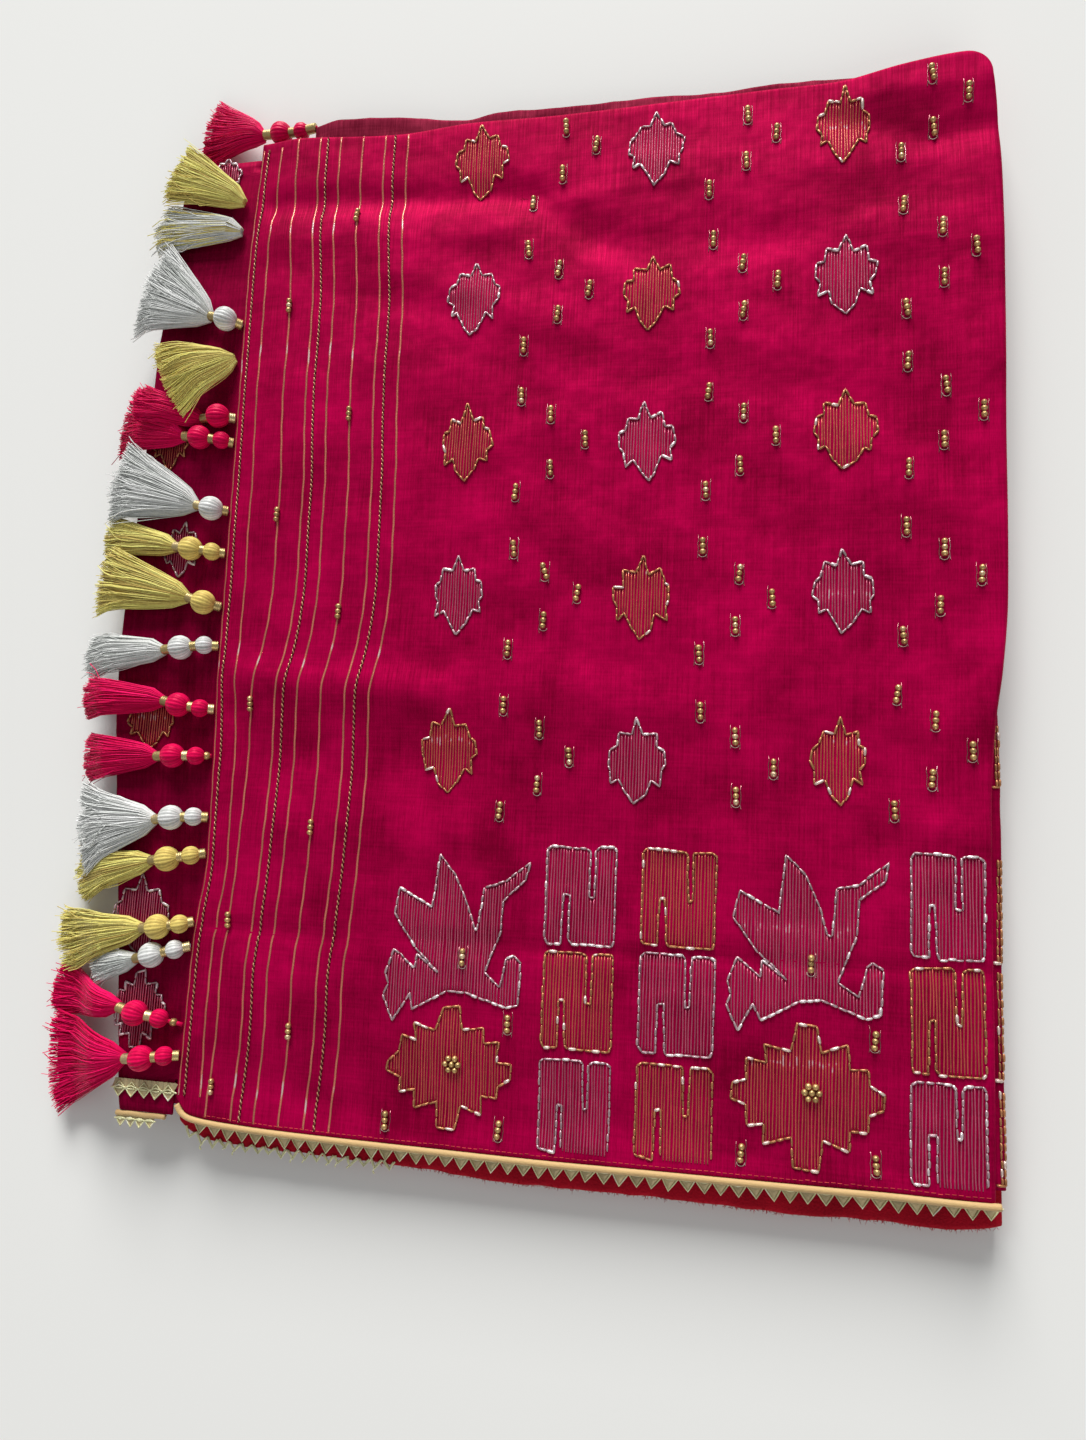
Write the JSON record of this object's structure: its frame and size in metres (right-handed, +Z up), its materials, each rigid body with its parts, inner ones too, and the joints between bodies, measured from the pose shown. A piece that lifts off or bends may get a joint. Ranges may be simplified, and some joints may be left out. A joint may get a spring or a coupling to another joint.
{
  "type": "folded saree",
  "caption": "Silk saree folded flat into a rectangle, with rolled folds, piped and laced hem, an embroidered top panel and a row of bead tassels along one end.",
  "frame": {"origin": "middle of the underside of the whole, on the surface that it lies on", "axes": "+Z up through the folded stack, +Y from the hem towards the top fold, +X from the tasselled end towards the right fold"},
  "size_m": [0.5104, 0.6188, 0.0336],
  "materials": {
    "silk": "magenta silk, fine slub weave, soft sheen",
    "silk_shade": "magenta silk in the folds, matte",
    "lining": "red napped lining",
    "piping": "tan satin piping",
    "gilt": "gilt lace, beads and zari thread",
    "thread_red": "red rayon thread",
    "thread_gold": "old gold rayon thread",
    "thread_silver": "silver grey rayon thread"
  },
  "bodies": {
    "root": {"fold_right": "silk", "hem_lace": "gilt", "hem_piping": "piping", "hidden_layers": "silk_shade", "lining_strip": "lining", "lower_lace": "gilt", "stem_01": "thread_red", "stem_04": "thread_silver", "stem_06": "thread_red", "stem_07": "thread_red", "stem_08": "thread_silver", "stem_09": "thread_gold", "stem_10": "thread_gold", "stem_11": "thread_silver", "stem_12": "thread_red", "stem_13": "thread_red", "stem_14": "thread_silver", "stem_15": "thread_gold", "stem_16": "thread_gold", "stem_17": "thread_silver", "stem_18": "thread_red", "stem_19": "thread_red", "tassel_01": "thread_red", "tassel_02": "thread_gold", "tassel_03": "thread_silver", "tassel_04": "thread_silver", "tassel_05": "thread_gold", "tassel_06": "thread_red", "tassel_07": "thread_red", "tassel_08": "thread_silver", "tassel_09": "thread_gold", "tassel_10": "thread_gold", "tassel_11": "thread_silver", "tassel_12": "thread_red", "tassel_13": "thread_red", "tassel_14": "thread_silver", "tassel_15": "thread_gold", "tassel_16": "thread_gold", "tassel_17": "thread_silver", "tassel_18": "thread_red", "tassel_19": "thread_red", "top_stretch": "silk", "under_edge_lace": "gilt", "under_lace": "gilt", "under_piping": "piping", "under_stretch_left": "silk", "under_stretch_top": "silk_shade"}
  },
  "joints": []
}
